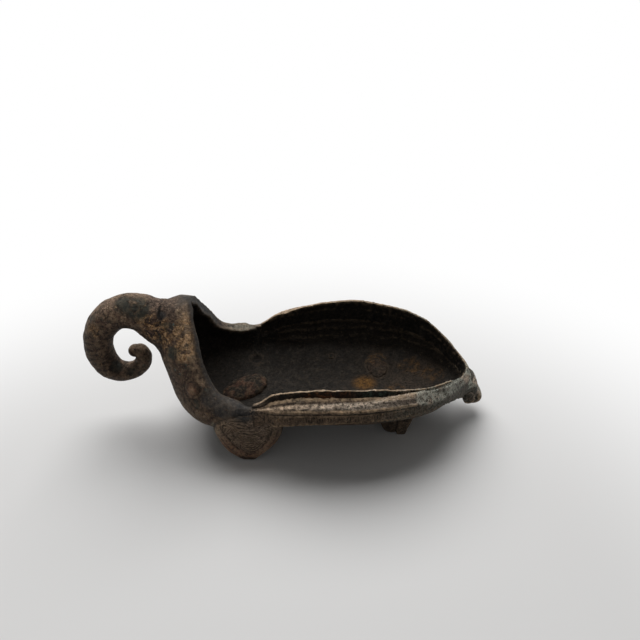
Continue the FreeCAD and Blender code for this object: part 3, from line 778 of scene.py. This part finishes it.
# %% Frieze tree
def frieze_tree():
    tree = bpy.data.node_groups.new("frieze row", "GeometryNodeTree")
    sockets = tree.interface
    sockets.new_socket("Line", in_out="INPUT", socket_type="NodeSocketGeometry")
    kinds = {"Carrier": "Object", "Bronze": "Material", "Step": "Float",
             "Size": "Vector", "Uneven": "Float", "Seed": "Int"}
    for name, kind in kinds.items():
        sockets.new_socket(name, in_out="INPUT", socket_type="NodeSocket" + kind)
    sockets.new_socket("Row", in_out="OUTPUT", socket_type="NodeSocketGeometry")

    def node(kind, settings=None, values=()):
        return add_node(tree, kind, settings, values)

    given = node("NodeGroupInput").outputs
    steps = node("GeometryNodeResampleCurve", {"mode": "LENGTH"}, {
        "Curve": given["Line"], "Length": given["Step"]})
    along = node("GeometryNodeInputTangent").outputs[0]
    carrier = node("GeometryNodeObjectInfo", {"transform_space": "RELATIVE"}, {"Object": given["Carrier"]})
    nearest = node("GeometryNodeProximity", {"target_element": "FACES"}, {0: carrier.outputs["Geometry"]})
    turned = node("FunctionNodeAlignRotationToVector", {"axis": "X", "pivot_axis": "Z"}, {"Vector": along})
    laid = node("GeometryNodeSetPosition", None, {
        "Geometry": steps.outputs[0], "Position": nearest.outputs["Position"]})
    chance = node("FunctionNodeRandomValue", {"data_type": "FLOAT"}, {
        "Min": 0.0, "Max": 1.0, "Seed": given["Seed"]})
    less = node("ShaderNodeMath", {"operation": "MULTIPLY"}, {0: chance.outputs["Value"], 1: given["Uneven"]})
    share = node("ShaderNodeMath", {"operation": "SUBTRACT"}, {0: 1.0, 1: less.outputs[0]})
    scale = node("ShaderNodeVectorMath", {"operation": "SCALE"}, {0: given["Size"], "Scale": share.outputs[0]})
    drop = node("GeometryNodeMeshUVSphere", None, {"Segments": 8, "Rings": 6, "Radius": 1.0})
    smooth = node("GeometryNodeSetShadeSmooth", None, {"Geometry": drop.outputs["Mesh"]})
    placed = node("GeometryNodeInstanceOnPoints", None, {
        "Points": laid.outputs[0], "Instance": smooth.outputs[0],
        "Rotation": turned.outputs[0], "Scale": scale.outputs[0]})
    real = node("GeometryNodeRealizeInstances", None, {"Geometry": placed.outputs[0]})
    kept = node("GeometryNodeStoreNamedAttribute", {"data_type": "FLOAT", "domain": "POINT"},
                {"Geometry": real.outputs[0], "Name": "worn", "Value": 0.4})
    done = node("GeometryNodeSetMaterial", None, {"Geometry": kept.outputs[0], "Material": given["Bronze"]})
    node("NodeGroupOutput", None, {"Row": done.outputs[0]})
    return tree


row_tree = frieze_tree()
print("frieze tree:", len(row_tree.nodes), "nodes")

# %% [markdown]
# Each row runs along both sides of the band. It lies at a share of the frieze's height,
# so that it follows the frieze where that narrows towards the tip.

# %% Ribs and beads
def frieze_row(name, start, end, height_share, inputs):
    """A row on both sides of the band, from x start to x end."""
    line = bpy.data.curves.new(name, "CURVE")
    line.dimensions = "3D"
    places = np.arange(start, end, 1.0)
    for side in (-1, 1):
        bottom, top = frieze_at(places, 3), frieze_at(places, 2)
        heights = bottom + height_share * (top - bottom)
        spline = line.splines.new("POLY")
        spline.points.add(len(places) - 1)
        for point, x, half, height in zip(spline.points, places, frieze_at(places, 1), heights):
            point.co = (x * MM, side * half * MM, height * MM, 1)
    holder = bpy.data.objects.new(name, line)
    bpy.context.scene.collection.objects.link(holder)
    modifier = holder.modifiers.new("row", "NODES")
    modifier.node_group = row_tree
    for socket in row_tree.interface.items_tree:
        if socket.in_out == "INPUT" and socket.name in inputs:
            modifier[socket.identifier] = inputs[socket.name]
    graph = bpy.context.evaluated_depsgraph_get()
    mesh = bpy.data.meshes.new_from_object(holder.evaluated_get(graph))
    bpy.data.objects.remove(holder)
    row = bpy.data.objects.new(name, mesh)
    bpy.context.scene.collection.objects.link(row)
    print(name, len(mesh.polygons), "faces")
    return row


carrier = skins["rim_band"]
carrier.normals()  # writes the shaped points into the mesh that the tree reads
rows_made = [
    frieze_row("frieze_ribs", -6, 72, 0.44, {
        "Carrier": carrier.piece, "Step": 1.35 * MM,
        "Size": (0.33 * MM, 0.36 * MM, 2.6 * MM), "Uneven": 0.55, "Seed": 3}),
    frieze_row("frieze_beads", -4, 86, 0.10, {
        "Carrier": carrier.piece, "Step": 2.3 * MM,
        "Size": (0.75 * MM, 0.6 * MM, 0.55 * MM), "Uneven": 0.65, "Seed": 8}),
]

# %% [markdown]
# Raised edges are rubbed bright by hands and cloths, and dirt stays in the recesses.
# Both come from how the surface bends at each point: a point that stands above its
# neighbours is worn, and one that lies below them is dirty.

# %% Wear and dirt
# the small castings that lie inside the bowl and share its dark floor colour
INSIDE = {"front_lock_left": 0.8, "front_lock_right": 0.8, "core_spacer": 0.9}
for node, skin in skins.items():
    normals = skin.normals()
    bend = np.einsum("ij,ij->i", skin.points - skin.around(skin.points), normals)
    for step in range(3):
        bend = 0.5 * bend + 0.5 * skin.around(bend)
    bend = bend / (0.02 * GRAIN[node]) * (1 - smooth_step(0.0, 0.3, skin.melted))
    if node == "inner_lip":
        bend *= np.clip(upper * 4, 0, 1)
    skin.mark("worn", np.clip(bend, 0, 1))
    skin.mark("dirty", np.clip(-bend, 0, 1))
    if node not in ("rim_band", "inner_lip", "bowl_body"):
        skin.mark("top", np.ones(skin.count))
        skin.mark("inner", np.full(skin.count, INSIDE.get(node, 0.0)))
print("wear and dirt marked")

# %% [markdown]
# One recipe makes every bronze here, because the castings aged together. It runs in the
# order in which time laid the colours on, and each step takes the colour so far and
# returns the next. All steps share four grains, from clouds of 16 mm to grit of 1.3 mm.
# The ground is a brown of two mixed grains. Dust lies on what faces up, and what faces
# down is painted darker, as painted shade.

# %% Ground, dust and painted underside shade
CARVED = (0.022, 0.016, 0.012)
DUST = (0.34, 0.245, 0.18)
UNDERSIDE_SHADE = (0.020, 0.013, 0.010)


class Bronze(Finish):
    """A finish with the grains that every bronze is mixed from."""

    def __init__(self, name):
        super().__init__(name)
        self.x, self.y, self.z = self.axes()
        self.cloud = self.grain(16, 4, 0.6)
        self.mottle = self.grain(3.6, 6, 0.82, warp=0.3)
        self.speck = self.grain(1.9, 4, 0.9)
        self.grit = self.grain(1.3, 4, 0.9)
        normal = self.node("ShaderNodeNewGeometry").outputs["Normal"]
        self.upward = Value(self, self.node("ShaderNodeSeparateXYZ", None, [normal]).outputs[2])

    def with_spots(self, mask, places, share):
        """The mask, joined by a list of places that show as far as share lets them."""
        for centre, radius in places:
            mask = mask.most(self.spot(centre, radius) * share)
        return mask


def ground_coat(skin, ground, light, dust_and_underside_shade):
    dark_cloud = tuple(c * 0.35 for c in ground)
    colour = skin.blend(skin.cloud.step(0.42, 0.62), ground, dark_cloud)
    colour = skin.blend(skin.mottle.step(0.46, 0.60) * 0.85, colour, light)
    colour = skin.blend(skin.drawn("dark"), colour, CARVED)
    if dust_and_underside_shade:
        settled = skin.upward.step(0.25, 0.95) * skin.mottle.step(0.34, 0.56) * dust_and_underside_shade
        colour = skin.blend(settled, colour, DUST)
        # Painted shade: faces that look down are painted darker.
        colour = skin.blend((1 - skin.upward.step(-0.55, 0.45)) * dust_and_underside_shade * 1.3, colour, UNDERSIDE_SHADE)
    return colour


print("ground coat ready")

# %% [markdown]
# Corrosion comes in patches: a few large ones, whose places are listed in millimetres
# with their radius, and many small ones strewn by noise. Ochre crusts, dark green and
# blue-green verdigris each have their own grain and their own edge.

# %% Stains
OCHRE = [((-50, -16, 69), 10), ((-52, -20, 63), 10), ((-58, -15, 62), 7), ((-66, -10, 68), 10),
         ((-72, -8, 74), 7), ((-100, -7, 66), 5)]
DARK_GREEN = [((-75, -7, 79), 9), ((-82, -5, 80), 7), ((-57, -19, 59), 5), ((-86, -8, 38), 6),
              ((-94, -4, 40), 5)]
VERDIGRIS = [((-43.2, -32.2, 46.5), 1.8), ((-40, -32, 44.5), 1.6), ((-37, -32.5, 41.3), 1.5),
             ((-36, -38, 26), 4), ((-37, -38, 18), 3)]
OCHRE_DARK, OCHRE_LIGHT = (0.15, 0.077, 0.032), (0.54, 0.33, 0.165)
GREEN = (0.022, 0.030, 0.026)
BLUE_GREEN = (0.105, 0.175, 0.165)
RUDDY = (0.20, 0.085, 0.050)


def stains(skin, colour, stain):
    """The stained colour, and where it is dark green."""
    ragged = skin.grain(4.2, 6, 0.68, warp=0.5).step(0.45, 0.53)
    strewn = (skin.grain(6, 4, 0.7, warp=0.6) + skin.grain(24, 2) * 0.5).step(0.90, 1.0)
    ochre = skin.with_spots(strewn * stain * 0.8, OCHRE, ragged)
    crust = skin.blend(skin.speck.step(0.4, 0.6), OCHRE_DARK, OCHRE_LIGHT)
    colour = skin.blend(ochre * 0.95, colour, crust)

    strewn = (skin.grain(7, 4, 0.65, warp=0.3) + skin.grain(30, 2) * 0.4).step(0.80, 0.92)
    green = skin.with_spots(strewn * stain, DARK_GREEN, skin.mottle.step(0.36, 0.5))
    colour = skin.blend(green * 0.9, colour, GREEN)

    strewn = (1 - skin.cells(5.5)).step(0.80, 0.95) * skin.grain(11, 3).step(0.56, 0.66)
    verdigris = skin.with_spots(strewn * stain, VERDIGRIS, skin.mottle.step(0.40, 0.52))
    colour = skin.blend(verdigris * 0.75, colour, BLUE_GREEN)
    colour = skin.blend(skin.drawn("ruddy") * skin.mottle.step(0.3, 0.6) * 0.7, colour, RUDDY)
    return colour, green


print("stains at", len(OCHRE) + len(DARK_GREEN) + len(VERDIGRIS), "places, and strewn")

# %% [markdown]
# The ledge and the tip are rubbed to a pale, dusty tan that turns grey-green towards
# the narrow end. Only faces that look up and lie at the ledge's height take it. Where
# the metal lies bare, along the prow's edge and on its neck, it is slate grey.

# %% Rubbed ledge and bare metal
TAN_LEFT, TAN_MIDDLE = (0.74, 0.55, 0.385), (0.88, 0.72, 0.56)
END_GREEN, END_TAN = (0.42, 0.425, 0.36), (0.50, 0.40, 0.31)
GREY_GREEN = (0.085, 0.092, 0.078)
FAR_END = (0.29, 0.27, 0.215)
PITTED = (0.13, 0.10, 0.072)
SLATE_DARK, SLATE_LIGHT = (0.020, 0.021, 0.022), (0.050, 0.051, 0.050)
SLATE = [((-63, -9, 76), 4), ((-31, -37, 38), 10), ((-22, -40, 37), 9), ((-26, -38, 38), 8),
         ((-38, -34, 41), 8)]


def rubbed_ledge(skin, colour, tan):
    x, y, z = skin.x, skin.y, skin.z
    grey_end = (x + (skin.mottle - 0.5) * 0.05 + (skin.cloud - 0.5) * 0.04).step(0.038, 0.074)
    colour = skin.blend(grey_end * skin.mottle.step(0.3, 0.55) * 0.8, colour, GREY_GREEN)

    past_left_end = x + 0.024
    dust = skin.blend((x + 0.005).step(0, 0.035), TAN_LEFT, TAN_MIDDLE)
    dust = skin.blend(grey_end, dust, skin.blend(skin.cloud.step(0.45, 0.55), END_GREEN, END_TAN))
    dust = skin.blend(y.step(0.012, 0.020) * (1 - past_left_end.step(0, 0.012)), dust, FAR_END)
    dust = skin.blend(skin.speck.step(0.33, 0.50), PITTED, dust)

    ledge_height = 0.010 + (0.016 - x * 0.16).most(0)
    lit = (skin.upward + grey_end * 0.35).step(0.35, 0.75) * skin.drawn("top")
    lit = lit * (z - ledge_height).step(0, 0.004)
    lit = lit * (past_left_end + y.step(0.010, 0.016) * 0.018).step(0, 0.012)
    return skin.blend(lit * skin.grain(7, 3).step(0.22, 0.45) * tan, colour, dust)


def bare_metal(skin, colour, green):
    """The colour with its slate grey, and where the surface is too smooth for specks."""
    slate = skin.with_spots(skin.drawn("rim") * 0.95, SLATE, skin.mottle.step(0.34, 0.46) * 0.9)
    metal = skin.blend(skin.speck.step(0.42, 0.68), SLATE_DARK, SLATE_LIGHT)
    return skin.blend(slate, colour, metal), slate.most(green * 0.9)


print("ledge and bare metal ready")

# %% [markdown]
# The inside has walls painted near black, partly their own dark colour and partly painted
# shade, over a dark slate floor, whose edge rises towards the prow.
# One rust spot is bright, and a few are faint. The lip's outer side is painted dark as
# well, partly dirt and partly painted shade, with rust towards the handle and green towards the tip.

# %% Inside and shade
SHADED_WALL_DARK, SHADED_WALL_LIGHT = (0.0038, 0.0036, 0.0033), (0.022, 0.019, 0.016)
FLOOR_DARK, FLOOR_LIGHT = (0.016, 0.0148, 0.0136), (0.044, 0.037, 0.030)
FLOOR_BROWN = (0.062, 0.046, 0.033)
RUST = (0.150, 0.075, 0.022)
RUST_SPOT = ((43, 3.5, 18), 9, 0.7)
FAINT_RUST = [((51, 22, 21), 8), ((71, 17, 19), 9), ((83, 9, 19), 9), ((60, -4, 18), 8)]
GRIT_AND_SHADE_BLACK = (0.010, 0.008, 0.006)
SHADE_BROWN, LIP_RUST, LIP_GREEN = (0.060, 0.040, 0.027), (0.17, 0.065, 0.024), (0.062, 0.092, 0.070)


def inside_coat(skin, colour):
    """The colour with the inside's own, and how far a place is floor."""
    x, z = skin.x, skin.z
    floor_top = z + (skin.cloud - 0.5) * 0.006 - (0.025 - x) * 0.03
    low = 1 - floor_top.step(0.0220, 0.0262)
    rust = skin.spot(*RUST_SPOT) * skin.mottle.step(0.30, 0.48)
    rust = skin.with_spots(rust, FAINT_RUST, skin.mottle.step(0.45, 0.62) * 0.55)
    floor = skin.blend(skin.mottle.step(0.40, 0.66), FLOOR_DARK, FLOOR_LIGHT)
    floor = skin.blend((x - 0.025).step(0, 0.04) * skin.cloud.step(0.4, 0.6) * 0.6, floor, FLOOR_BROWN)
    floor = skin.blend(rust, floor, RUST)
    # Painted shade: the walls take a far darker colour than the floor.
    wall = skin.blend(skin.mottle.step(0.48, 0.68), SHADED_WALL_DARK, SHADED_WALL_LIGHT)
    return skin.blend(skin.drawn("inner"), colour, skin.blend(low, wall, floor)), low


# Painted shade: where a casting is marked shade, its colour goes towards near black and a shade brown, with rust
# and green stains on the lip.
def shade_coat(skin, colour):
    shade_tinge = skin.blend(skin.spot((20, -42, 47), 16), SHADE_BROWN, LIP_RUST)
    shade_tinge = skin.blend(skin.spot((48, -41, 45), 14), shade_tinge, LIP_GREEN)
    return skin.blend(skin.drawn("shade") * 0.9, colour, skin.blend(skin.mottle.step(0.42, 0.6), GRIT_AND_SHADE_BLACK, shade_tinge))


print("inside and shade ready")

# %% [markdown]
# Last come the fine things: dirt in the recesses, dark grit, light specks, and edges
# rubbed to warmer metal. The same grains make the bump, with round pits of about a
# millimetre, so that what looks dark also lies lower.

# %% Bronze
DIRT = (0.012, 0.009, 0.007)
PALE_SPECK = (0.36, 0.26, 0.185)
RUBBED = (0.30, 0.215, 0.135)
BUMP_DEPTH = 0.0008


def bronze(name, ground, light, stain, wear, tan=0.0, dust_and_underside_shade=0.0, specks=0.55, grime=0.75):
    skin = Bronze(name)
    colour = ground_coat(skin, ground, light, dust_and_underside_shade)
    colour, green = stains(skin, colour, stain)
    if tan:
        colour = rubbed_ledge(skin, colour, tan)
    colour, bare = bare_metal(skin, colour, green)
    colour, low = inside_coat(skin, colour)
    colour = shade_coat(skin, colour)

    inner, dirt = skin.drawn("inner"), skin.drawn("dirty")
    plain = (1 - skin.drawn("shade")) * (1 - bare * 0.85)
    colour = skin.blend((dirt * grime) * (1 - inner * 0.5), colour, DIRT)
    colour = skin.blend(skin.grit.step(0.49, 0.56) * (0.85 - bare * 0.5), colour, GRIT_AND_SHADE_BLACK)
    strewn = skin.speck.step(0.56, 0.64) * plain * (specks * (1 - inner * 0.9))
    colour = skin.blend(strewn, colour, PALE_SPECK)
    rubbed = skin.drawn("worn") * skin.grain(2.2, 3, 0.7).step(0.3, 0.62) * (1 - inner * 0.8) * plain
    colour = skin.blend(rubbed * wear, colour, RUBBED)

    rough = 0.62 + (skin.mottle - 0.5) * 0.35 - rubbed * 0.14
    metal = (0.12 + rubbed * 0.4 - dirt * 0.1) * (1 - inner) + inner * (0.85 - low * 0.45)
    pits = skin.cells(1.05).step(0.05, 0.42)
    height = (pits * 0.6 + skin.speck * 1.2 + skin.mottle * 1.1 + skin.grit * 0.6) * (1 - bare * 0.6)
    bump = skin.node("ShaderNodeBump", None, {"Strength": 1.0, "Distance": BUMP_DEPTH, "Height": height})
    shader = skin.node("ShaderNodeBsdfPrincipled", None, {
        "Base Color": colour, "Roughness": rough, "Metallic": metal,
        "Specular IOR Level": 0.1, "Normal": bump.outputs[0]})
    skin.node("ShaderNodeOutputMaterial", None, [shader.outputs[0]])
    return skin.material


# ground, light ground, share of stains, share of wear, and what differs from the rest
BRONZES = {
    "bowl_bronze": ((0.044, 0.026, 0.018), (0.112, 0.069, 0.047), 0.8, 0.4, {"tan": 0.75, "dust_and_underside_shade": 0.35}),
    "rim_bronze": ((0.095, 0.064, 0.042), (0.180, 0.124, 0.080), 0.6, 0.7, {"tan": 1.0}),
    "lip_bronze": ((0.060, 0.050, 0.040), (0.110, 0.092, 0.072), 0.7, 0.9, {"tan": 0.9}),
    "handle_bronze": ((0.066, 0.037, 0.026), (0.185, 0.110, 0.075), 0.8, 0.5, {"dust_and_underside_shade": 0.38}),
    "foot_bronze": ((0.20, 0.145, 0.104), (0.32, 0.235, 0.168), 0.3, 0.4, {"specks": 0.4, "grime": 0.6}),
    "patch_bronze": ((0.008, 0.0065, 0.005), (0.021, 0.017, 0.013), 0.3, 0.15, {"specks": 0.16, "grime": 0.5}),
    "trim_bronze": ((0.036, 0.027, 0.020), (0.075, 0.057, 0.042), 0.8, 0.4, {}),
}
bronzes = {name: bronze(name, *mix, **more) for name, (*mix, more) in BRONZES.items()}
print(len(bronzes), "bronzes")

# %% [markdown]
# Each skin takes the bronze that the record names for its casting, stands in for that
# casting, and rides with the vessel.

# %% Dress the vessel
for row in rows_made:
    row.data.materials.clear()
    row.data.materials.append(bronzes["rim_bronze"])
    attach(row, "root")
slot_of = {part["node"]: part["material_slot"] for part in frame["record"]["subparts"]}
for node, skin in skins.items():
    skin.mesh.materials.clear()
    skin.mesh.materials.append(bronzes[slot_of[node]])
    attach(skin.piece, "root")
    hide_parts(node)
print("bronze on", len(skins), "castings")

# %% [markdown]
# Last, the scene is brought up to date.

# %% Update the scene
bpy.context.view_layer.update()
